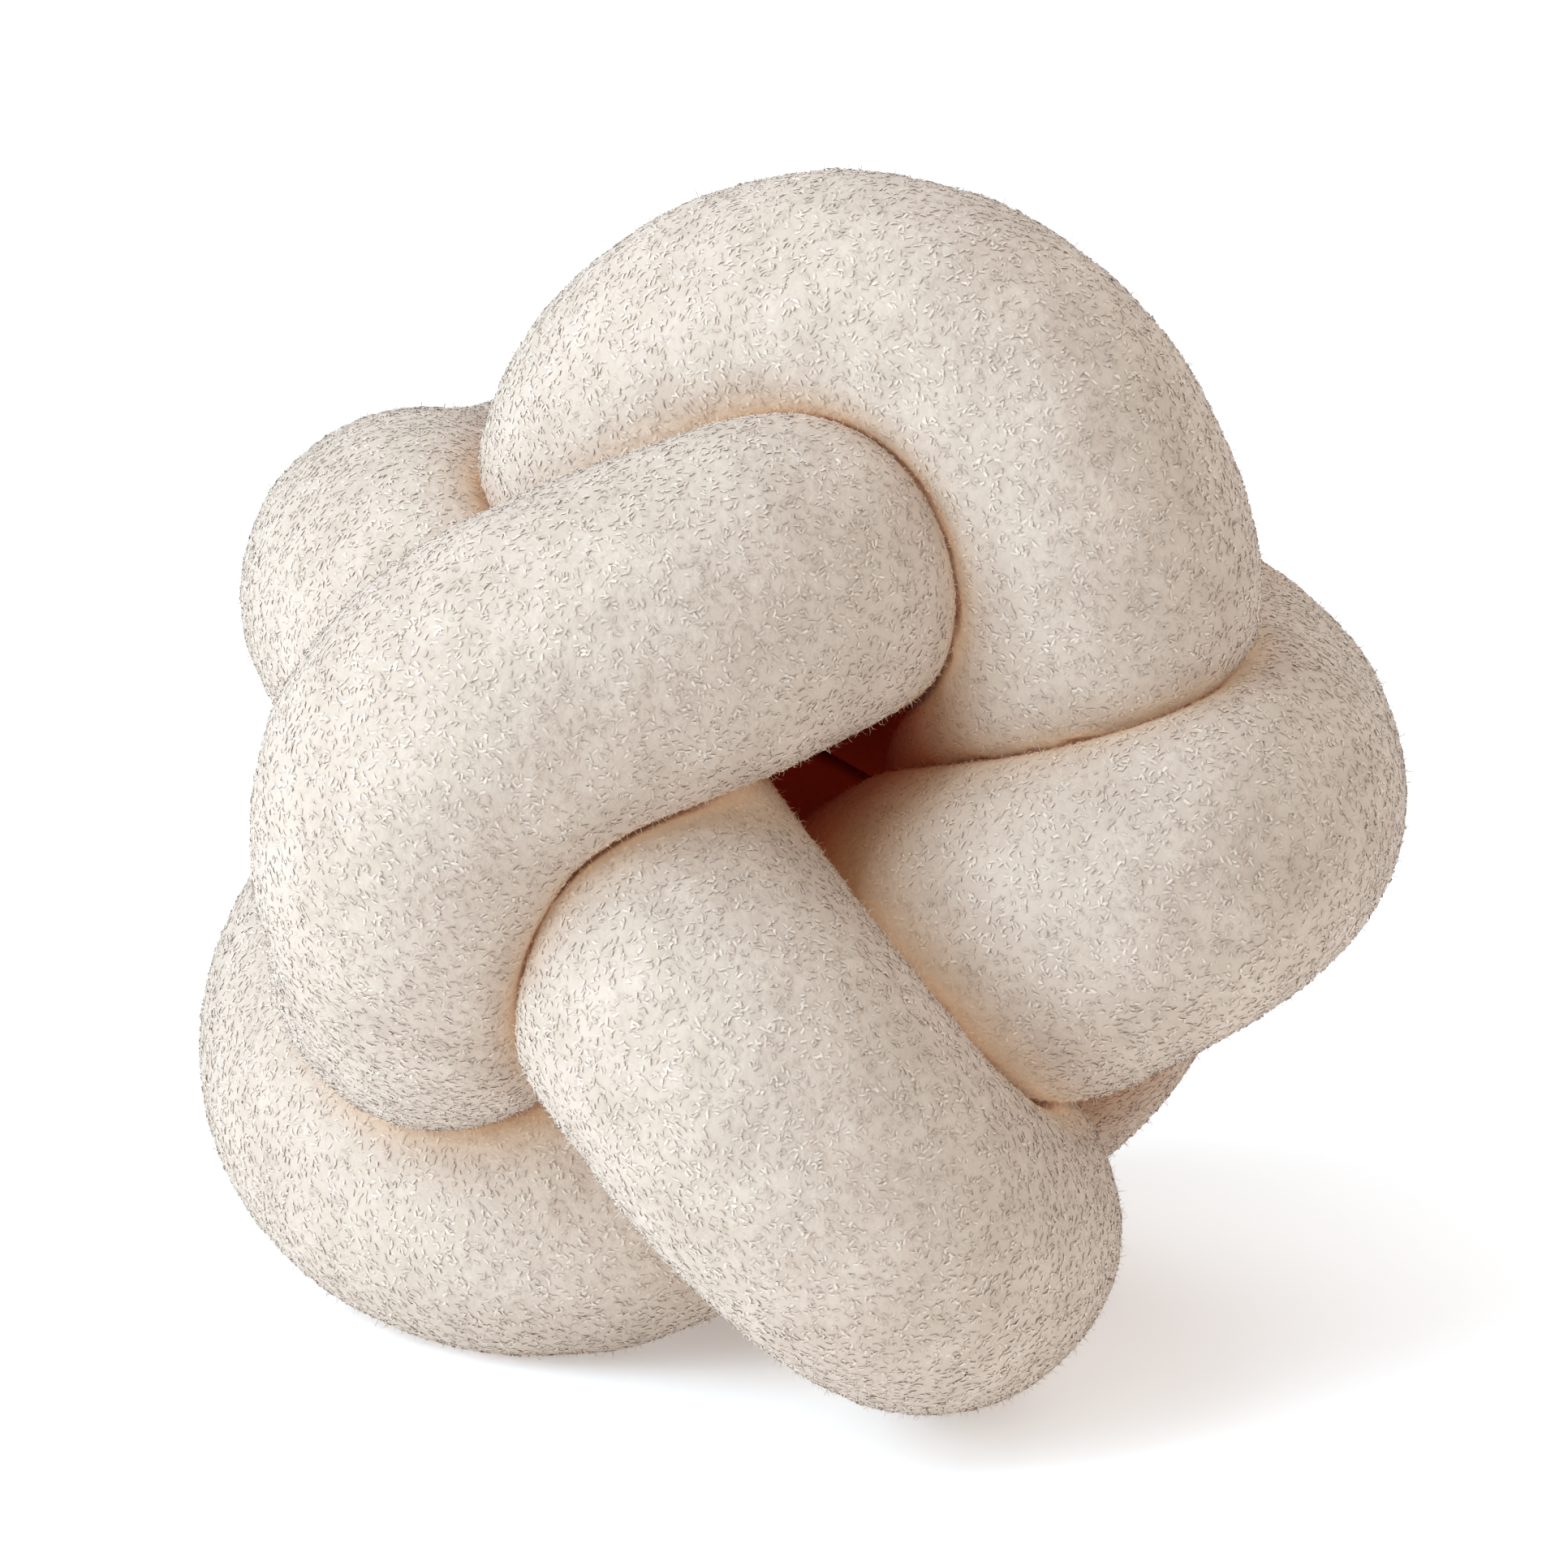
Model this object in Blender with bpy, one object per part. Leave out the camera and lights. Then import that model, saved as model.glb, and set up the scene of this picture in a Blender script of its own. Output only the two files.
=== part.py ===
"""A knot cushion: one long stuffed fleece tube, joined end to end, woven over and under itself
into a ball about 300 mm across that rests on three small flat spots."""

import math

import bpy
import numpy as np

MM = 0.001

# Named sizes, in millimetres
CORE = (5.0, 25.0, 133.0)  # the middle of the hollow that the tube is woven round
CORE_SWELL = 3.5  # how far the tube swells towards that hollow, where nothing stops it
FIT_GAP = 1.0  # half of the gap left between two stretches that press on each other
NEAR_ALONG = 30.0  # points closer than this along the tube belong to the same stretch
INSIDE_OF_BEND = 0.86  # the inside of a bend reaches this share of the way to the bend's centre
ROUNDNESS = 9.0  # how suddenly the round side turns into the flattened one, as an exponent

RINGS = 208  # sections along the tube
SIDES = 24  # points round each section

CREAM = (0.80, 0.72, 0.64, 1.0)
FLEECE_ROUGHNESS = 0.95

# The tube's centre line, evenly spaced along it: five rows for each of the eight stretches that
# cross over a neighbour, in the order in which the tube runs. x is to the right, y away from the
# front, z up from the floor. Radius is the tube's own there, as it isn't filled evenly.
ROUTE_COLUMNS = ("stretch", "x", "y", "z", "radius")
ROUTE = (
    ("top_arch", -42, 8, 187, 43),
    ("top_arch", -26, -22, 236, 43),
    ("top_arch", 24, -44, 252, 43),
    ("top_arch", 61, -60, 214, 43),
    ("top_arch", 62, -40, 161, 42),
    ("rear_low", 59, 1, 114, 43),
    ("rear_low", 57, 47, 76, 43),
    ("rear_low", 22, 75, 41, 43),
    ("rear_low", -35, 70, 48, 43),
    ("rear_low", -70, 32, 81, 43),
    ("left_front", -86, -18, 98, 43),
    ("left_front", -86, -74, 123, 44),
    ("left_front", -80, -95, 171, 46),
    ("left_front", -22, -90, 204.5, 41.8),
    ("left_front", 12.5, -51, 209, 41),
    ("rear_top", 36, 7, 196, 43),
    ("rear_top", 53, 65, 197, 43),
    ("rear_top", 53, 110, 160, 43),
    ("rear_top", 18, 93, 112, 43),
    ("rear_top", -13, 42, 74, 43),
    ("front_low", 12, -1, 43, 43),
    ("front_low", 31, -59, 44, 43),
    ("front_low", 18, -113, 62, 44),
    ("front_low", -18, -115, 104, 45),
    ("front_low", -49, -72, 138, 43),
    ("left_shoulder", -72, -25, 162, 43),
    ("left_shoulder", -94, 31, 173, 44),
    ("left_shoulder", -76, 89, 162, 43),
    ("left_shoulder", -23, 109, 168, 43),
    ("left_shoulder", 23, 73, 158, 43),
    ("right_front", 72, 39, 150, 43),
    ("right_front", 98, -14, 145, 43),
    ("right_front", 90, -74, 141, 43),
    ("right_front", 44, -64, 117, 46),
    ("right_front", 6, -23, 84, 42),
    ("left_foot", -42, -24, 49, 43),
    ("left_foot", -88, 4, 41, 44),
    ("left_foot", -104, 62, 59, 44),
    ("left_foot", -77, 84, 100, 43),
    ("left_foot", -54, 43, 141, 43),
)


def closed_curve(points, count):
    """A smooth closed curve through the rows, as count rows evenly spaced along it, and its length.
    The first three columns are the place, and any others are carried along."""
    n = len(points)
    system = 4.0 * np.eye(n) + np.roll(np.eye(n), 1, 0) + np.roll(np.eye(n), -1, 0)
    slopes = np.linalg.solve(system, 3.0 * (np.roll(points, -1, 0) - np.roll(points, 1, 0)))
    at = np.arange(count * 8) * n / (count * 8)
    i = at.astype(int)
    j = (i + 1) % n
    f = (at - i)[:, None]
    fine = (
        points[i] * (1 + 2 * f) * (1 - f) ** 2
        + slopes[i] * f * (1 - f) ** 2
        + points[j] * f * f * (3 - 2 * f)
        + slopes[j] * f * f * (f - 1)
    )
    fine = np.vstack([fine, fine[:1]])
    along = np.r_[0.0, np.cumsum(np.linalg.norm(np.diff(fine[:, :3], axis=0), axis=1))]
    even = np.linspace(0.0, along[-1], count, endpoint=False)
    return np.stack([np.interp(even, along, column) for column in fine.T], axis=1), along[-1]


def section_directions(centres, sides):
    """The tangents, and for each section the directions that point out of the tube, with no twist at the join."""
    tangents = np.roll(centres, -1, 0) - np.roll(centres, 1, 0)
    tangents /= np.linalg.norm(tangents, axis=1)[:, None]
    across = np.cross(tangents[0], (0.0, 0.0, 1.0))
    across /= np.linalg.norm(across)
    carried = [across]
    for tangent in np.roll(tangents, -1, 0):
        across = carried[-1] - tangent * np.dot(carried[-1], tangent)
        carried.append(across / np.linalg.norm(across))
    start = np.cross(tangents[0], carried[0])
    twist = math.atan2(np.dot(carried[-1], start), np.dot(carried[-1], carried[0]))
    firsts = np.array(carried[:-1])
    seconds = np.cross(tangents, firsts)
    share = np.arange(len(centres))[:, None] / len(centres)
    angle = np.arange(sides)[None, :] * 2 * math.pi / sides - twist * share
    return tangents, (
        np.cos(angle)[..., None] * firsts[:, None] + np.sin(angle)[..., None] * seconds[:, None]
    )


def unpressed(centres, directions, radii):
    """The tube's own radius in each direction, with its swelling towards the hollow in the middle."""
    inward = np.array(CORE) - centres
    away = np.linalg.norm(inward, axis=1)
    facing = np.maximum(np.einsum("ijk,ik->ij", directions, inward / away[:, None]), 0.0)
    close = np.clip(2.0 - away / (2 * radii), 0.0, 1.0)
    return radii[:, None] + CORE_SWELL * close[:, None] * facing**4


def reach(centres, tangents, directions, radii, length):
    """How far the tube's side is from its centre line in each direction: its own radius, less where
    a neighbour presses on it or on the inside of a bend."""
    count = len(centres)
    step = length / count
    free = np.full(directions.shape[:2], 1e6)
    for i in range(count):
        towards = centres - centres[i]
        away = np.linalg.norm(towards, axis=1)
        apart = np.abs(np.arange(count) - i)
        along = np.minimum(apart, count - apart) * step
        near = (along > NEAR_ALONG) & (away < radii[i] + radii + 2 * CORE_SWELL)
        if not near.any():
            continue
        away = away[near]
        facing = directions[i] @ (towards[near] / away[:, None]).T
        shared = away / 2 + (radii[i] ** 2 - radii[near] ** 2) / (2 * away) - FIT_GAP
        free[i] = np.where(facing > 1e-4, shared[None] / np.maximum(facing, 1e-4), 1e6).min(axis=1)
    bend = (np.roll(tangents, -1, 0) - np.roll(tangents, 1, 0)) / (2 * step)
    inward = np.einsum("ijk,ik->ij", directions, bend)
    free = np.minimum(free, np.where(inward > 1e-9, INSIDE_OF_BEND / np.maximum(inward, 1e-9), 1e6))
    own = unpressed(centres, directions, radii)
    return (own**-ROUNDNESS + free**-ROUNDNESS) ** (-1 / ROUNDNESS)


def knot_surface():
    """The tube's sections as an array of rings of points in millimetres, flat where it meets the floor."""
    rows, length = closed_curve(np.array([row[1:] for row in ROUTE], float), RINGS)
    centres, radii = rows[:, :3], rows[:, 3]
    tangents, directions = section_directions(centres, SIDES)
    out = reach(centres, tangents, directions, radii, length)
    rings = centres[:, None] + directions * out[..., None]
    rings[..., 2] = np.maximum(rings[..., 2], 0.0)
    return rings


def centred(rings):
    """The rings moved so that the middle of their box stands over the origin."""
    flat = rings.reshape(-1, 3)
    middle = (flat.min(axis=0) + flat.max(axis=0)) / 2
    return rings - (middle[0], middle[1], 0.0)


def fleece():
    material = bpy.data.materials.new("cream_fleece")
    material.use_nodes = True
    shader = material.node_tree.nodes["Principled BSDF"]
    shader.inputs["Base Color"].default_value = CREAM
    shader.inputs["Roughness"].default_value = FLEECE_ROUGHNESS
    shader.inputs["Metallic"].default_value = 0.0
    material.diffuse_color = CREAM
    return material


def add_tube(name, rings, material):
    count, sides = rings.shape[:2]
    corners = [
        (i * sides + j, i * sides + (j + 1) % sides, (i + 1) % count * sides + (j + 1) % sides, (i + 1) % count * sides + j)
        for i in range(count)
        for j in range(sides)
    ]
    mesh = bpy.data.meshes.new(name)
    mesh.from_pydata((rings.reshape(-1, 3) * MM).tolist(), [], corners)
    mesh.validate()
    for face in mesh.polygons:
        face.use_smooth = True
    mesh.materials.append(material)
    tube = bpy.data.objects.new(name, mesh)
    bpy.context.scene.collection.objects.link(tube)
    return tube


def main():
    for old in list(bpy.data.objects):
        bpy.data.objects.remove(old, do_unlink=True)
    add_tube("knotted_tube", centred(knot_surface()), fleece())


main()
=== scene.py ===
"""A knot cushion of curly cream fleece. The cover is the stuffed tube's own surface, and the pile that
stands on it is small curls and loose fibres."""

import math

import bpy
import numpy as np
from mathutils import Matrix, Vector
from mathutils.bvhtree import BVHTree


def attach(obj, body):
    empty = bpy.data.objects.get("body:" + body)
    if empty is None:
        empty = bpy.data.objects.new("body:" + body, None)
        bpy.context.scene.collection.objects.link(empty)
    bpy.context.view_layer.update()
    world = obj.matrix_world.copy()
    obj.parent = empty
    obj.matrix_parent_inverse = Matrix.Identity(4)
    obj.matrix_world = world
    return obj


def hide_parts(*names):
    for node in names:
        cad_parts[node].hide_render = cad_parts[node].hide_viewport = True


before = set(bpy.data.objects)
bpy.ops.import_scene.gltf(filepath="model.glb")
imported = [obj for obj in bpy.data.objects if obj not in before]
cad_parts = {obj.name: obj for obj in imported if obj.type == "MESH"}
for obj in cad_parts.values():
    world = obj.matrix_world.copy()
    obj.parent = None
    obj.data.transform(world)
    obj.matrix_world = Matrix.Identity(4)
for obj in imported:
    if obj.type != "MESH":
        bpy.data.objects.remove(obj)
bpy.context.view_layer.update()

MM = 0.001
SEED = 41

# The tube, in millimetres: its route, and how it is pressed
CORE = (5.0, 25.0, 133.0)
CORE_SWELL = 3.5
NEAR_ALONG = 30.0
INSIDE_OF_BEND = 0.86
CAD = {"grid": (208, 24), "fit_gap": 1.0, "roundness": 9.0}  # as part.py has them

ROUTE_COLUMNS = ("stretch", "x", "y", "z", "radius")
ROUTE = (
    ("top_arch", -42, 8, 187, 43),
    ("top_arch", -26, -22, 236, 43),
    ("top_arch", 24, -44, 252, 43),
    ("top_arch", 61, -60, 214, 43),
    ("top_arch", 62, -40, 161, 42),
    ("rear_low", 59, 1, 114, 43),
    ("rear_low", 57, 47, 76, 43),
    ("rear_low", 22, 75, 41, 43),
    ("rear_low", -35, 70, 48, 43),
    ("rear_low", -70, 32, 81, 43),
    ("left_front", -86, -18, 98, 43),
    ("left_front", -86, -74, 123, 44),
    ("left_front", -80, -95, 171, 46),
    ("left_front", -22, -90, 204.5, 41.8),
    ("left_front", 12.5, -51, 209, 41),
    ("rear_top", 36, 7, 196, 43),
    ("rear_top", 53, 65, 197, 43),
    ("rear_top", 53, 110, 160, 43),
    ("rear_top", 18, 93, 112, 43),
    ("rear_top", -13, 42, 74, 43),
    ("front_low", 12, -1, 43, 43),
    ("front_low", 31, -59, 44, 43),
    ("front_low", 18, -113, 62, 44),
    ("front_low", -18, -115, 104, 45),
    ("front_low", -49, -72, 138, 43),
    ("left_shoulder", -72, -25, 162, 43),
    ("left_shoulder", -94, 31, 173, 44),
    ("left_shoulder", -76, 89, 162, 43),
    ("left_shoulder", -23, 109, 168, 43),
    ("left_shoulder", 23, 73, 158, 43),
    ("right_front", 72, 39, 150, 43),
    ("right_front", 98, -14, 145, 43),
    ("right_front", 90, -74, 141, 43),
    ("right_front", 44, -64, 117, 46),
    ("right_front", 6, -23, 84, 42),
    ("left_foot", -42, -24, 49, 43),
    ("left_foot", -88, 4, 41, 44),
    ("left_foot", -104, 62, 59, 44),
    ("left_foot", -77, 84, 100, 43),
    ("left_foot", -54, 43, 141, 43),
)

# The fleece, in millimetres. Its stretches meet more closely than the plain solid's do.
COVER = {"grid": (600, 90), "fit_gap": 0.15, "roundness": 17.0}
COVER_BELOW_TIPS = 0.5  # the cloth's own surface under the pile's tips
LUMPS = ((34.0, 0.55), (15.0, 0.35), (7.0, 0.22))  # size and height of the filling's soft lumps
SHADE = {"grid": (400, 60), "fit_gap": 0.15, "roundness": 17.0}
SHADE_RAYS = 40
SHADE_REACH = 95.0
MEETING_GAP = (0.12, 0.90)  # where two stretches meet, and where they have parted
MEETING_SHADE = 0.90  # how much less open it is where they meet
HOLLOW_SHADE_REACH = (50.0, 130.0)  # from the middle of the hollow: where the painted shade deep inside the knot is full, and where there is none

CURL_PIECES = 5
CURLS_PER_PIECE = 26000
CURL_STEPS = 3
CURL_RADIUS = (0.60, 1.15)
CURL_HEIGHT = (0.21, 0.50)
CURL_WIDTH = (0.42, 0.80)
CURL_SWEEP = (1.00, 1.35)  # in half turns
PILE_RELIEF = 0.10  # how much a curl's own slope shows over the cushion's
CURL_ROUND = 0.15  # how round a curl's yarn looks across its width
FUZZ_FIBRES = 30000
FUZZ_LENGTH = (1.8, 3.4)
FUZZ_WIDTH = (0.10, 0.16)

# Colours, linear. The tints multiply the cream as painted shade: by how near the pile's tips a place is, and by how
# open it is. The glow is painted light: emission in the creases that stands in for light coming through the filling.
CREAM = (0.518, 0.402, 0.318, 1.0)
CREAM_LIGHT = (0.812, 0.685, 0.577, 1.0)
# Painted shade: the cream darker and warmer towards the roots of the pile.
PILE_ROOT_SHADE = ((0.0, (0.88, 0.86, 0.84)), (1.0, (1.0, 1.0, 1.0)))
CREASE_PAINTED_SHADE = (
    (0.02, (0.72, 0.40, 0.25)),
    (0.12, (0.95, 0.80, 0.66)),
    (0.30, (1.0, 0.92, 0.85)),
    (0.60, (1.0, 0.96, 0.93)),
    (0.92, (1.0, 1.0, 1.0)),
)
# Painted glow: emission in the creases by how open a place is, standing in for light that comes through the filling.
CREASE_PAINTED_GLOW = (
    (0.0, (0.018, 0.008, 0.003)),
    (0.04, (0.085, 0.052, 0.032)),
    (0.10, (0.195, 0.148, 0.098)),
    (0.18, (0.182, 0.148, 0.102)),
    (0.30, (0.120, 0.105, 0.078)),
    (0.45, (0.080, 0.067, 0.048)),
    (0.62, (0.015, 0.012, 0.009)),
)
# Painted shade deep inside the knot's hollow: the cream multiplied down to a dark maroon.
INNER_PAINTED_SHADE = (
    (0.0, (1.0, 1.0, 1.0)),
    (0.10, (0.90, 0.80, 0.73)),
    (0.22, (0.76, 0.56, 0.43)),
    (0.50, (0.58, 0.28, 0.17)),
    (1.0, (0.32, 0.03, 0.015)),
)
# The painted crease glow, dimmed deep inside the hollow.
INNER_GLOW = (
    (0.0, (1.0, 1.0, 1.0)),
    (0.15, (0.50, 0.36, 0.26)),
    (0.5, (0.36, 0.12, 0.06)),
    (1.0, (0.22, 0.018, 0.008)),
)
FLOOR_WHITE = (0.93, 0.93, 0.93, 1.0)


# ---------------------------------------------------------------- the tube's surface


def closed_curve(points, count):
    n = len(points)
    system = 4.0 * np.eye(n) + np.roll(np.eye(n), 1, 0) + np.roll(np.eye(n), -1, 0)
    slopes = np.linalg.solve(system, 3.0 * (np.roll(points, -1, 0) - np.roll(points, 1, 0)))
    at = np.arange(count * 8) * n / (count * 8)
    i = at.astype(int)
    j = (i + 1) % n
    f = (at - i)[:, None]
    fine = (
        points[i] * (1 + 2 * f) * (1 - f) ** 2
        + slopes[i] * f * (1 - f) ** 2
        + points[j] * f * f * (3 - 2 * f)
        + slopes[j] * f * f * (f - 1)
    )
    fine = np.vstack([fine, fine[:1]])
    along = np.r_[0.0, np.cumsum(np.linalg.norm(np.diff(fine[:, :3], axis=0), axis=1))]
    even = np.linspace(0.0, along[-1], count, endpoint=False)
    return np.stack([np.interp(even, along, column) for column in fine.T], axis=1), along[-1]


def section_directions(centres, sides):
    tangents = np.roll(centres, -1, 0) - np.roll(centres, 1, 0)
    tangents /= np.linalg.norm(tangents, axis=1)[:, None]
    across = np.cross(tangents[0], (0.0, 0.0, 1.0))
    across /= np.linalg.norm(across)
    carried = [across]
    for tangent in np.roll(tangents, -1, 0):
        across = carried[-1] - tangent * np.dot(carried[-1], tangent)
        carried.append(across / np.linalg.norm(across))
    start = np.cross(tangents[0], carried[0])
    twist = math.atan2(np.dot(carried[-1], start), np.dot(carried[-1], carried[0]))
    firsts = np.array(carried[:-1])
    seconds = np.cross(tangents, firsts)
    share = np.arange(len(centres))[:, None] / len(centres)
    angle = np.arange(sides)[None, :] * 2 * math.pi / sides - twist * share
    return tangents, (
        np.cos(angle)[..., None] * firsts[:, None] + np.sin(angle)[..., None] * seconds[:, None]
    )


def unpressed(centres, directions, radii):
    inward = np.array(CORE) - centres
    away = np.linalg.norm(inward, axis=1)
    facing = np.maximum(np.einsum("ijk,ik->ij", directions, inward / away[:, None]), 0.0)
    close = np.clip(2.0 - away / (2 * radii), 0.0, 1.0)
    return radii[:, None] + CORE_SWELL * close[:, None] * facing**4


def reach(centres, tangents, directions, radii, length, fit_gap, roundness):
    """The tube's own reach in each direction, and how far its neighbours leave it free."""
    count = len(centres)
    step = length / count
    free = np.full(directions.shape[:2], 1e6)
    for i in range(count):
        towards = centres - centres[i]
        away = np.linalg.norm(towards, axis=1)
        apart = np.abs(np.arange(count) - i)
        along = np.minimum(apart, count - apart) * step
        near = (along > NEAR_ALONG) & (away < radii[i] + radii + 2 * CORE_SWELL)
        if not near.any():
            continue
        away = away[near]
        facing = directions[i] @ (towards[near] / away[:, None]).T
        shared = away / 2 + (radii[i] ** 2 - radii[near] ** 2) / (2 * away) - fit_gap
        free[i] = np.where(facing > 1e-4, shared[None] / np.maximum(facing, 1e-4), 1e6).min(axis=1)
    bend = (np.roll(tangents, -1, 0) - np.roll(tangents, 1, 0)) / (2 * step)
    inward = np.einsum("ijk,ik->ij", directions, bend)
    limit = np.minimum(free, np.where(inward > 1e-9, INSIDE_OF_BEND / np.maximum(inward, 1e-9), 1e6))
    own = unpressed(centres, directions, radii)
    return (own**-roundness + limit**-roundness) ** (-1 / roundness), free


def surface(grid, fit_gap, roundness):
    """The centre line, the directions out of the tube, its reach in them, and the space left to the neighbours."""
    rows, length = closed_curve(np.array([row[1:] for row in ROUTE], float), grid[0])
    centres, radii = rows[:, :3], rows[:, 3]
    tangents, directions = section_directions(centres, grid[1])
    out, free = reach(centres, tangents, directions, radii, length, fit_gap, roundness)
    return centres, directions, out, free - out


def on_floor(rings):
    rings[..., 2] = np.maximum(rings[..., 2], 0.0)
    return rings


def middle_of_cad():
    centres, directions, out, _ = surface(**CAD)
    flat = on_floor(centres[:, None] + directions * out[..., None]).reshape(-1, 3)
    middle = (flat.min(axis=0) + flat.max(axis=0)) / 2
    return np.array((middle[0], middle[1], 0.0))


# ---------------------------------------------------------------- helpers


def lattice(x, y, z, seed):
    h = (x * 374761393 + y * 668265263 + z * 1103515245 + seed * 97531) & 0xFFFFFFFF
    h = ((h ^ (h >> 13)) * 1274126177) & 0xFFFFFFFF
    h = ((h ^ (h >> 15)) * 668265263) & 0xFFFFFFFF
    return ((h ^ (h >> 16)) & 0xFFFFFF) / 0xFFFFFF


def soft_noise(points, size, seed):
    """Smooth noise from -1 to 1 at each point, in cells of this size."""
    p = points / size
    cell = np.floor(p).astype(np.int64)
    f = p - cell
    f = f * f * f * (f * (f * 6 - 15) + 10)
    total = np.zeros(points.shape[:-1])
    for dx in (0, 1):
        for dy in (0, 1):
            for dz in (0, 1):
                weight = (
                    (f[..., 0] if dx else 1 - f[..., 0])
                    * (f[..., 1] if dy else 1 - f[..., 1])
                    * (f[..., 2] if dz else 1 - f[..., 2])
                )
                total += weight * lattice(cell[..., 0] + dx, cell[..., 1] + dy, cell[..., 2] + dz, seed)
    return total * 2 - 1


def unit(v):
    return v / np.maximum(np.linalg.norm(v, axis=-1, keepdims=True), 1e-9)


def ring_normals(rings):
    along = np.roll(rings, -1, 0) - np.roll(rings, 1, 0)
    around = np.roll(rings, -1, 1) - np.roll(rings, 1, 1)
    return unit(np.cross(around, along)), unit(along)


def smoothstep(low, high, x):
    t = np.clip((x - low) / (high - low), 0.0, 1.0)
    return t * t * (3 - 2 * t)


def resampled(values, grid):
    """A periodic grid of values read at another grid's places."""
    n, m = values.shape
    i = np.arange(grid[0]) * n / grid[0]
    j = np.arange(grid[1]) * m / grid[1]
    i0, j0 = i.astype(int), j.astype(int)
    fi, fj = (i - i0)[:, None], (j - j0)[None, :]
    i1, j1 = (i0 + 1) % n, (j0 + 1) % m
    low = values[i0][:, j0] * (1 - fj) + values[i0][:, j1] * fj
    high = values[i1][:, j0] * (1 - fj) + values[i1][:, j1] * fj
    return low * (1 - fi) + high * fi


def quads_of(grid):
    i, j = np.meshgrid(np.arange(grid[0]), np.arange(grid[1]), indexing="ij")
    i, j = i.ravel(), j.ravel()
    i1, j1 = (i + 1) % grid[0], (j + 1) % grid[1]
    return np.stack([i * grid[1] + j, i * grid[1] + j1, i1 * grid[1] + j1, i1 * grid[1] + j], axis=1)


def mesh_piece(name, points, faces, shade, material, normals=None):
    """A piece from points in millimetres and faces of equal corner counts, with its shade at each point."""
    mesh = bpy.data.meshes.new(name)
    mesh.vertices.add(len(points))
    mesh.vertices.foreach_set("co", (points * MM).astype(np.float32).ravel())
    total = sum(f.size for f in faces)
    mesh.loops.add(total)
    mesh.loops.foreach_set("vertex_index", np.concatenate([f.ravel() for f in faces]).astype(np.int32))
    sizes = np.concatenate([np.full(len(f), f.shape[1], np.int32) for f in faces])
    mesh.polygons.add(len(sizes))
    mesh.polygons.foreach_set("loop_start", np.r_[0, np.cumsum(sizes)[:-1]].astype(np.int32))
    mesh.polygons.foreach_set("use_smooth", np.ones(len(sizes), bool))
    mesh.update(calc_edges=True)
    mesh.validate()
    values = mesh.attributes.new("shade", "FLOAT_COLOR", "POINT")
    values.data.foreach_set("color", shade.astype(np.float32).ravel())
    if normals is not None:
        mesh.normals_split_custom_set_from_vertices(normals.tolist())
    mesh.materials.append(material)
    piece = bpy.data.objects.new(name, mesh)
    bpy.context.scene.collection.objects.link(piece)
    return piece


# ---------------------------------------------------------------- materials


def ramp(nodes, stops):
    """A colour ramp with these (place, colour) stops."""
    node = nodes.new("ShaderNodeValToRGB")
    elements = node.color_ramp.elements
    while len(elements) < len(stops):
        elements.new(0.5)
    for element, (place, colour) in zip(elements, stops):
        element.position = place
        element.color = (*colour, 1.0)
    return node


def product(nodes, links, a, b):
    node = nodes.new("ShaderNodeMix")
    node.data_type = "RGBA"
    node.blend_type = "MULTIPLY"
    node.inputs["Factor"].default_value = 1.0
    links.new(a, node.inputs["A"])
    links.new(b, node.inputs["B"])
    return node.outputs["Result"]


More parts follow.
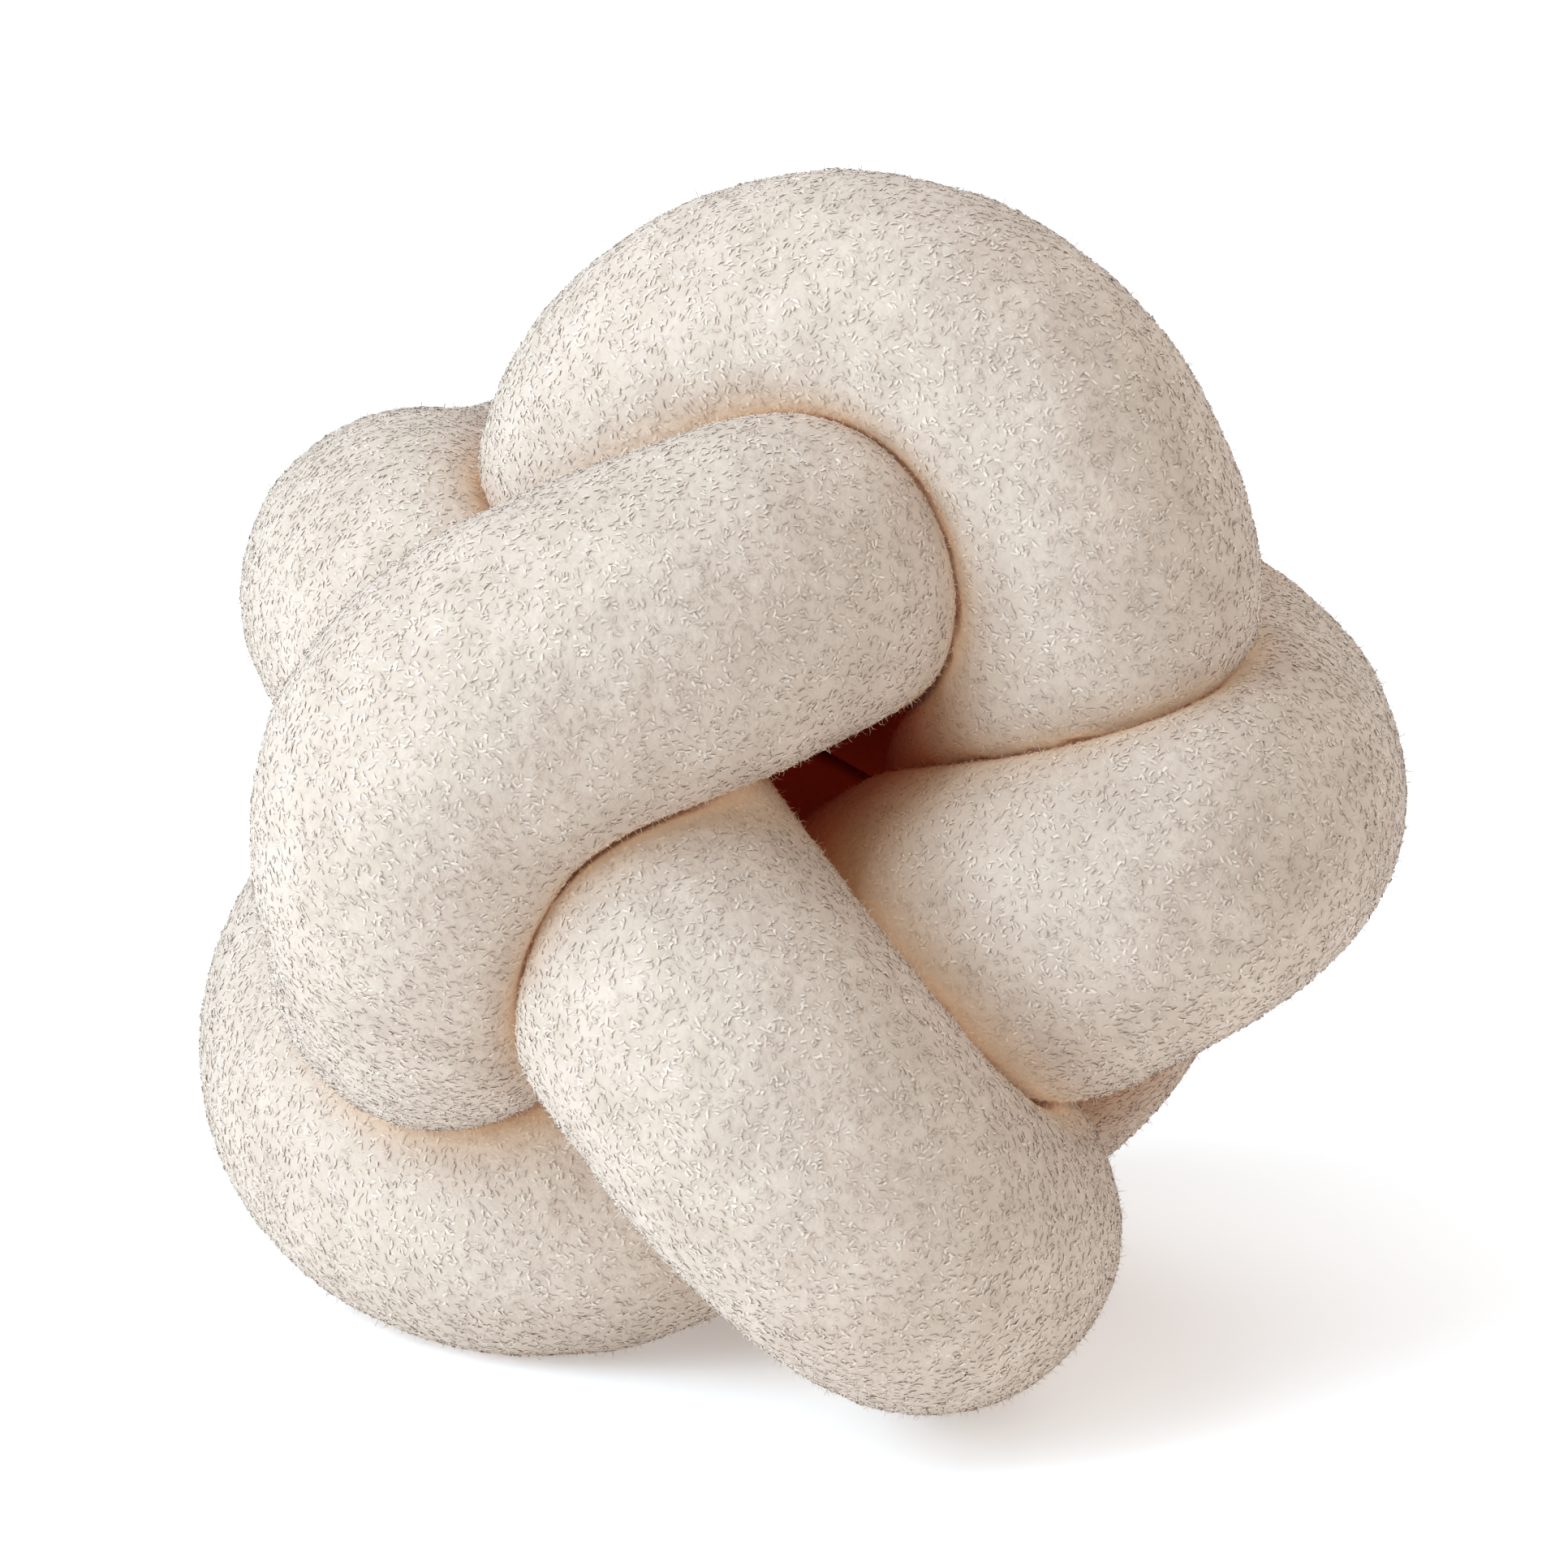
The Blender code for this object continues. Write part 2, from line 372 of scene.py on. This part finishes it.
def fleece(name, grain_depth, see_through):
    """Cream fleece: paler and deeper patches, with painted shade that makes it warmer and darker in the creases and
    at the roots of the pile, and a fine curly grain. A painted glow, standing in for light that has gone through the
    filling, warms the creases."""
    material = bpy.data.materials.new(name)
    material.use_nodes = True
    material.cycles.emission_sampling = "NONE"  # the glow is faint, and no light is looked for in it
    tree = material.node_tree
    nodes, links = tree.nodes, tree.links
    shader = nodes["Principled BSDF"]
    shader.inputs["Roughness"].default_value = 0.92
    shader.inputs["Specular IOR Level"].default_value = 0.12
    shader.inputs["Sheen Weight"].default_value = 0.2
    shader.inputs["Sheen Roughness"].default_value = 0.5
    shader.inputs["Sheen Tint"].default_value = (1.0, 0.97, 0.93, 1.0)
    shader.inputs["Emission Strength"].default_value = 1.0

    place = nodes.new("ShaderNodeTexCoord")
    shade = nodes.new("ShaderNodeAttribute")
    shade.attribute_name = "shade"
    parts = nodes.new("ShaderNodeSeparateColor")
    links.new(shade.outputs["Color"], parts.inputs["Color"])

    patch = nodes.new("ShaderNodeTexNoise")
    patch.inputs["Scale"].default_value = 60.0
    patch.inputs["Detail"].default_value = 4.0
    patch.inputs["Roughness"].default_value = 0.65
    links.new(place.outputs["Object"], patch.inputs["Vector"])
    tone = nodes.new("ShaderNodeMath")
    tone.operation = "MULTIPLY_ADD"
    tone.inputs[1].default_value = 1.0
    links.new(patch.outputs["Fac"], tone.inputs[0])
    links.new(parts.outputs["Green"], tone.inputs[2])
    pale = nodes.new("ShaderNodeMapRange")
    pale.inputs["From Min"].default_value = 0.4
    pale.inputs["From Max"].default_value = 1.45
    links.new(tone.outputs["Value"], pale.inputs["Value"])
    cream = nodes.new("ShaderNodeMix")
    cream.data_type = "RGBA"
    cream.inputs["A"].default_value = CREAM
    cream.inputs["B"].default_value = CREAM_LIGHT
    links.new(pale.outputs["Result"], cream.inputs["Factor"])

    # Painted shade at the roots of the pile, by the blue channel.
    root_shade = ramp(nodes, PILE_ROOT_SHADE)
    links.new(parts.outputs["Blue"], root_shade.inputs["Fac"])
    # Painted shade in the creases: the cream multiplied by how open a place is.
    crease_shade = ramp(nodes, CREASE_PAINTED_SHADE)
    links.new(parts.outputs["Red"], crease_shade.inputs["Fac"])
    colour = product(nodes, links, cream.outputs["Result"], root_shade.outputs["Color"])
    colour = product(nodes, links, colour, crease_shade.outputs["Color"])
    # Painted shade deep inside the hollow, by the alpha channel.
    inner_shade = ramp(nodes, INNER_PAINTED_SHADE)
    links.new(shade.outputs["Alpha"], inner_shade.inputs["Fac"])
    colour = product(nodes, links, colour, inner_shade.outputs["Color"])
    links.new(colour, shader.inputs["Base Color"])
    # Painted glow of the creases, as emission.
    glow = ramp(nodes, CREASE_PAINTED_GLOW)
    links.new(parts.outputs["Red"], glow.inputs["Fac"])
    inner_glow = ramp(nodes, INNER_GLOW)
    links.new(shade.outputs["Alpha"], inner_glow.inputs["Fac"])
    glowing = product(nodes, links, glow.outputs["Color"], inner_glow.outputs["Color"])
    links.new(glowing, shader.inputs["Emission Color"])

    curl = nodes.new("ShaderNodeTexNoise")
    curl.inputs["Scale"].default_value = 620.0
    curl.inputs["Detail"].default_value = 3.0
    curl.inputs["Roughness"].default_value = 0.6
    curl.inputs["Distortion"].default_value = 1.6
    links.new(place.outputs["Object"], curl.inputs["Vector"])
    clump = nodes.new("ShaderNodeTexNoise")
    clump.inputs["Scale"].default_value = 210.0
    clump.inputs["Detail"].default_value = 2.0
    links.new(place.outputs["Object"], clump.inputs["Vector"])
    height = nodes.new("ShaderNodeMath")
    height.operation = "MULTIPLY_ADD"
    height.inputs[1].default_value = 4.4
    links.new(clump.outputs["Fac"], height.inputs[0])
    links.new(curl.outputs["Fac"], height.inputs[2])
    bump = nodes.new("ShaderNodeBump")
    bump.inputs["Strength"].default_value = 1.0
    bump.inputs["Distance"].default_value = grain_depth
    links.new(height.outputs["Value"], bump.inputs["Height"])
    links.new(bump.outputs["Normal"], shader.inputs["Normal"])

    if see_through:
        through = nodes.new("ShaderNodeBsdfTranslucent")
        links.new(colour, through.inputs["Color"])
        both = nodes.new("ShaderNodeMixShader")
        both.inputs["Fac"].default_value = see_through
        links.new(shader.outputs["BSDF"], both.inputs[1])
        links.new(through.outputs["BSDF"], both.inputs[2])
        links.new(both.outputs["Shader"], nodes["Material Output"].inputs["Surface"])
    return material


def plain(name, colour, glow):
    material = bpy.data.materials.new(name)
    material.use_nodes = True
    shader = material.node_tree.nodes["Principled BSDF"]
    shader.inputs["Base Color"].default_value = colour
    shader.inputs["Roughness"].default_value = 0.9
    shader.inputs["Specular IOR Level"].default_value = 0.0
    shader.inputs["Emission Color"].default_value = (1.0, 1.0, 1.0, 1.0)
    shader.inputs["Emission Strength"].default_value = glow
    return material


# ---------------------------------------------------------------- the cushion

rng = np.random.default_rng(SEED)
MIDDLE = middle_of_cad()


def open_sky():
    """How much of the space over each place on the tube is open, from 0 to 1, on the shade grid."""
    centres, directions, out, _ = surface(**SHADE)
    rings = on_floor(centres[:, None] + directions * out[..., None])
    normals, _ = ring_normals(rings)
    tree = BVHTree.FromPolygons(rings.reshape(-1, 3).tolist(), quads_of(SHADE["grid"]).tolist())
    k = np.arange(SHADE_RAYS) + 0.5
    up = np.sqrt(1 - k / SHADE_RAYS)
    turn = k * math.pi * (3 - math.sqrt(5))
    level = np.sqrt(1 - up**2)
    rays = np.stack([level * np.cos(turn), level * np.sin(turn), up], axis=1)
    open_share = np.zeros(SHADE["grid"])
    for i in range(SHADE["grid"][0]):
        for j in range(SHADE["grid"][1]):
            n = normals[i, j]
            side = unit(np.cross(n, (0.31, 0.87, 0.38)))
            world = rays[:, :1] * side + rays[:, 1:2] * np.cross(n, side) + rays[:, 2:] * n
            start = Vector(rings[i, j] + n * 0.6)
            clear = 0.0
            for ray in world:
                hit = tree.ray_cast(start, Vector(ray), SHADE_REACH)
                clear += 1.0 if hit[0] is None else (hit[3] / SHADE_REACH) ** 1.5
            open_share[i, j] = clear / SHADE_RAYS
    return open_share


# The openness drives the painted shade and glow of the creases.
SKY = open_sky()


def cover_rings():
    """The cloth's own surface: as far under the pile's tips as the pile has room to stand, with soft lumps."""
    centres, directions, out, gap = surface(**COVER)
    rings = centres[:, None] + directions * out[..., None]
    lumps = sum(height * soft_noise(rings, size, 11 + k) for k, (size, height) in enumerate(LUMPS))
    out = out - COVER_BELOW_TIPS * smoothstep(0.0, 1.2, gap) + lumps * smoothstep(0.5, 4.0, gap)
    return on_floor(centres[:, None] + directions * out[..., None]), gap


def shade_of(points, sky, tone, tip):
    """Red holds how open a place is, green its own tone, blue how near it is to the pile's tips, and
    alpha how deep inside the knot it is."""
    away = np.linalg.norm(points + MIDDLE - CORE, axis=-1)
    return np.stack(np.broadcast_arrays(sky, tone, tip, 1 - smoothstep(*HOLLOW_SHADE_REACH, away)), axis=-1)


RINGS, GAP = cover_rings()
NORMALS, ALONG = ring_normals(RINGS)
# Where two stretches meet, the openness is cut further, which deepens the painted shade along the meeting lines.
MEETING = 1 - smoothstep(*MEETING_GAP, GAP)
COVER_SKY = resampled(SKY, COVER["grid"]) * (1 - MEETING_SHADE * MEETING)
RINGS -= MIDDLE

# The cloth under the pile takes the full painted root shade (blue 0), and the painted crease shade and glow.
cover = mesh_piece(
    "fleece_cover",
    RINGS.reshape(-1, 3),
    [quads_of(COVER["grid"])],
    shade_of(RINGS, COVER_SKY, 0.3, 0.0).reshape(-1, 4),
    fleece("fleece_ground", 0.0002, 0.0),
)


def roots(count, weights):
    """Places spread evenly over the cover by weight: point, normal, direction along the tube and sky."""
    a, b = RINGS, np.roll(RINGS, -1, 0)
    c, d = np.roll(b, -1, 1), np.roll(RINGS, -1, 1)
    area = 0.5 * np.linalg.norm(np.cross(c - a, d - b), axis=-1)
    share = np.cumsum((area * weights).ravel())
    pick = np.searchsorted(share / share[-1], (np.arange(count) + rng.random(count)) / count)
    pick = np.minimum(pick, share.size - 1)
    i, j = np.divmod(pick, COVER["grid"][1])
    i1, j1 = (i + 1) % COVER["grid"][0], (j + 1) % COVER["grid"][1]
    u, v = rng.random(count)[:, None], rng.random(count)[:, None]

    def read(field):
        low = field[i, j] * (1 - v) + field[i, j1] * v
        high = field[i1, j] * (1 - v) + field[i1, j1] * v
        return low * (1 - u) + high * u

    return read(RINGS), unit(read(NORMALS)), unit(read(ALONG)), read(COVER_SKY[..., None])[:, 0]


EXPOSED = smoothstep(0.05, 0.6, GAP) * smoothstep(0.4, 1.5, RINGS[..., 2])


def spread(limits, count):
    return rng.uniform(limits[0], limits[1], count)


def curls(name, count, material):
    """Small flat loops of yarn that rise out of the cloth and curl back into it."""
    point, normal, along, sky = roots(count, EXPOSED)
    clump = soft_noise(point, 5.0, 71)
    swirl = soft_noise(point, 9.0, 72)
    turn = swirl * 5.0 + rng.uniform(-1.3, 1.3, count)
    across = np.cross(normal, along)
    t = np.cos(turn)[:, None] * along + np.sin(turn)[:, None] * across
    up = unit(normal + 0.18 * (rng.standard_normal((count, 1)) * t + rng.standard_normal((count, 1)) * np.cross(normal, t)))
    side = np.cross(up, t)
    radius = spread(CURL_RADIUS, count)
    height = spread(CURL_HEIGHT, count) * (1 + 0.35 * clump)
    width = spread(CURL_WIDTH, count)
    sweep = spread(CURL_SWEEP, count) * math.pi
    start = -0.05 * math.pi + 0.1 * rng.standard_normal(count)
    drift = 0.35 * rng.standard_normal(count)
    bend = 0.40 * rng.standard_normal(count)
    lean = 0.35 * rng.standard_normal(count)
    tapers = (0.55, 1.0, 0.95, 0.4)
    rows, sides = [], []
    for k in range(CURL_STEPS + 1):
        share = k / CURL_STEPS
        phi = start + sweep * share
        spine = (
            point
            - t * (radius * np.cos(phi))[:, None]
            + up * (height * np.sin(phi) * (1 - 0.25 * share))[:, None]
            + side * (drift * (share - 0.5) * 2 + bend * math.sin(math.pi * share))[:, None]
        )
        angle = lean * (1.6 * share - 0.8)
        wide = np.cos(angle)[:, None] * side + np.sin(angle)[:, None] * up
        half = (0.5 * width * tapers[k])[:, None]
        rows.append(np.stack([spine - wide * half, spine + wide * half], axis=1))
        sides += [-wide, wide]
    points = np.stack(rows, axis=1)
    points[..., 2] = np.maximum(points[..., 2], 0.05)
    points = points.reshape(count, CURL_STEPS + 1, 2, 3)
    own = unit(np.cross(points[:, 1:, 0] - points[:, :-1, 0], points[:, :-1, 1] - points[:, :-1, 0]))
    outward = (own * normal[:, None]).sum(-1, keepdims=True) > 0
    own = np.where(outward, own, -own)[:, (0, 0, 1, 1, 1, 1, 2, 2)]
    normals = unit(normal[:, None] + PILE_RELIEF * own + CURL_ROUND * np.stack(sides, axis=1))
    first = (np.arange(count) * 2 * (CURL_STEPS + 1))[:, None, None]
    step = (np.arange(CURL_STEPS) * 2)[None, :, None]
    faces = first + step + np.where(outward, (0, 2, 3, 1), (0, 1, 3, 2))
    tone = np.clip(0.03 + 0.64 * rng.random(count) ** 1.3 + 0.28 * clump, 0.0, 1.0)
    # Painted shade at the roots: each curl darker at its ends, where it rises from and dives into the cloth.
    tip = np.repeat([0.45, 1.0, 1.0, 0.55], 2)
    shade = shade_of(point[:, None], sky[:, None], tone[:, None], tip[None])
    return mesh_piece(
        name, points.reshape(-1, 3), [faces.reshape(-1, 4)], shade.reshape(-1, 4), material, normals.reshape(-1, 3)
    )


def fuzz(name, count, material):
    """Loose single fibres that stand a little proud of the curls."""
    point, normal, along, sky = roots(count, EXPOSED)
    turn = rng.uniform(0, 2 * math.pi, count)
    across = np.cross(normal, along)
    t = np.cos(turn)[:, None] * along + np.sin(turn)[:, None] * across
    side = np.cross(normal, t)
    length = spread(FUZZ_LENGTH, count)
    rise = rng.uniform(0.35, 0.85, count)
    half = (0.5 * spread(FUZZ_WIDTH, count))[:, None]
    knee = point + normal * (length * rise * 0.72)[:, None] + t * (length * 0.28)[:, None]
    tip = knee + normal * (length * rise * 0.28)[:, None] + t * (length * 0.45)[:, None]
    tip += side * (0.5 * rng.standard_normal(count))[:, None]
    points = np.stack([point - side * half, point + side * half, knee + side * half, knee - side * half, tip], axis=1)
    points[..., 2] = np.maximum(points[..., 2], 0.05)
    first = (np.arange(count) * 5)[:, None]
    quads = first + np.array([0, 3, 2, 1])[None]
    tips = first + np.array([2, 3, 4])[None]
    # Painted shade at the roots: each fibre darker at its foot.
    shade = shade_of(point[:, None], sky[:, None], 0.8, np.array([0.4, 0.4, 1.0, 1.0, 1.0])[None])
    normals = np.repeat(normal[:, None], 5, axis=1)
    return mesh_piece(name, points.reshape(-1, 3), [quads, tips], shade.reshape(-1, 4), material, normals.reshape(-1, 3))


PILE = fleece("fleece_pile", 0.0002, 0.08)
pieces = [cover]
pieces += [curls(f"fleece_curls_{k + 1}", CURLS_PER_PIECE, PILE) for k in range(CURL_PIECES)]
pieces.append(fuzz("fleece_fibres", FUZZ_FIBRES, fleece("fleece_fibre", 0.0001, 0.2)))

for piece in pieces:
    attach(piece, "root")
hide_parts("knotted_tube")

# ---------------------------------------------------------------- the room, the light and the camera

FLOOR_SIDE = 14.0
floor_mesh = bpy.data.meshes.new("studio_floor")
h = FLOOR_SIDE / 2
floor_mesh.from_pydata([(-h, -h, 0), (h, -h, 0), (h, h, 0), (-h, h, 0)], [], [(0, 1, 2, 3)])
floor_mesh.materials.append(plain("studio_white", FLOOR_WHITE, 0.28))
floor = bpy.data.objects.new("studio_floor", floor_mesh)
bpy.context.scene.collection.objects.link(floor)

world = bpy.data.worlds.new("studio")
world.use_nodes = True
world.node_tree.nodes["Background"].inputs["Color"].default_value = (1.0, 1.0, 1.0, 1.0)
world.node_tree.nodes["Background"].inputs["Strength"].default_value = 0.42
bpy.context.scene.world = world

LIGHTS = (
    # name, degrees to the right of the front, degrees up, distance, size, watts, colour
    ("key", -62, 26, 2.4, 2.4, 98.0, (0.64, 0.83, 1.0)),
    ("top", 0, 80, 2.2, 2.0, 20.0, (0.88, 0.95, 1.0)),
    ("fill", 72, 14, 2.4, 2.0, 7.0, (1.0, 0.84, 0.70)),
    ("back", 142, 34, 2.4, 2.4, 19.0, (0.86, 0.93, 1.0)),
)
MIDDLE_OF_KNOT = Vector((0.0, 0.0, 0.14))
for name, turn, rise, distance, size, watts, colour in LIGHTS:
    turn, rise = math.radians(turn), math.radians(rise)
    out = Vector((math.sin(turn) * math.cos(rise), -math.cos(turn) * math.cos(rise), math.sin(rise)))
    lamp = bpy.data.lights.new(name, "AREA")
    lamp.size = size
    lamp.energy = watts
    lamp.color = colour
    light = bpy.data.objects.new(name, lamp)
    light.location = MIDDLE_OF_KNOT + out * distance
    light.rotation_mode = "QUATERNION"
    light.rotation_quaternion = (-out).to_track_quat("-Z", "Y")
    light.visible_camera = False
    bpy.context.scene.collection.objects.link(light)

ELEVATION = math.radians(16.0)
LENS, SENSOR = 500.0, 36.0
VIEW_WIDTH = 0.3767
AIM = Vector((-MIDDLE[0] * MM - 0.0066, -MIDDLE[1] * MM, 0.136))
back = Vector((0.0, -math.cos(ELEVATION), math.sin(ELEVATION)))
camera = bpy.data.cameras.new("camera")
camera.lens, camera.sensor_width = LENS, SENSOR
camera.clip_start, camera.clip_end = 0.1, 40.0
eye = bpy.data.objects.new("camera", camera)
eye.location = AIM + back * (VIEW_WIDTH * LENS / SENSOR)
eye.rotation_mode = "QUATERNION"
eye.rotation_quaternion = (-back).to_track_quat("-Z", "Y")
bpy.context.scene.collection.objects.link(eye)
bpy.context.scene.camera = eye

view = bpy.context.scene.view_settings
view.view_transform = "Standard"
view.look = "None"
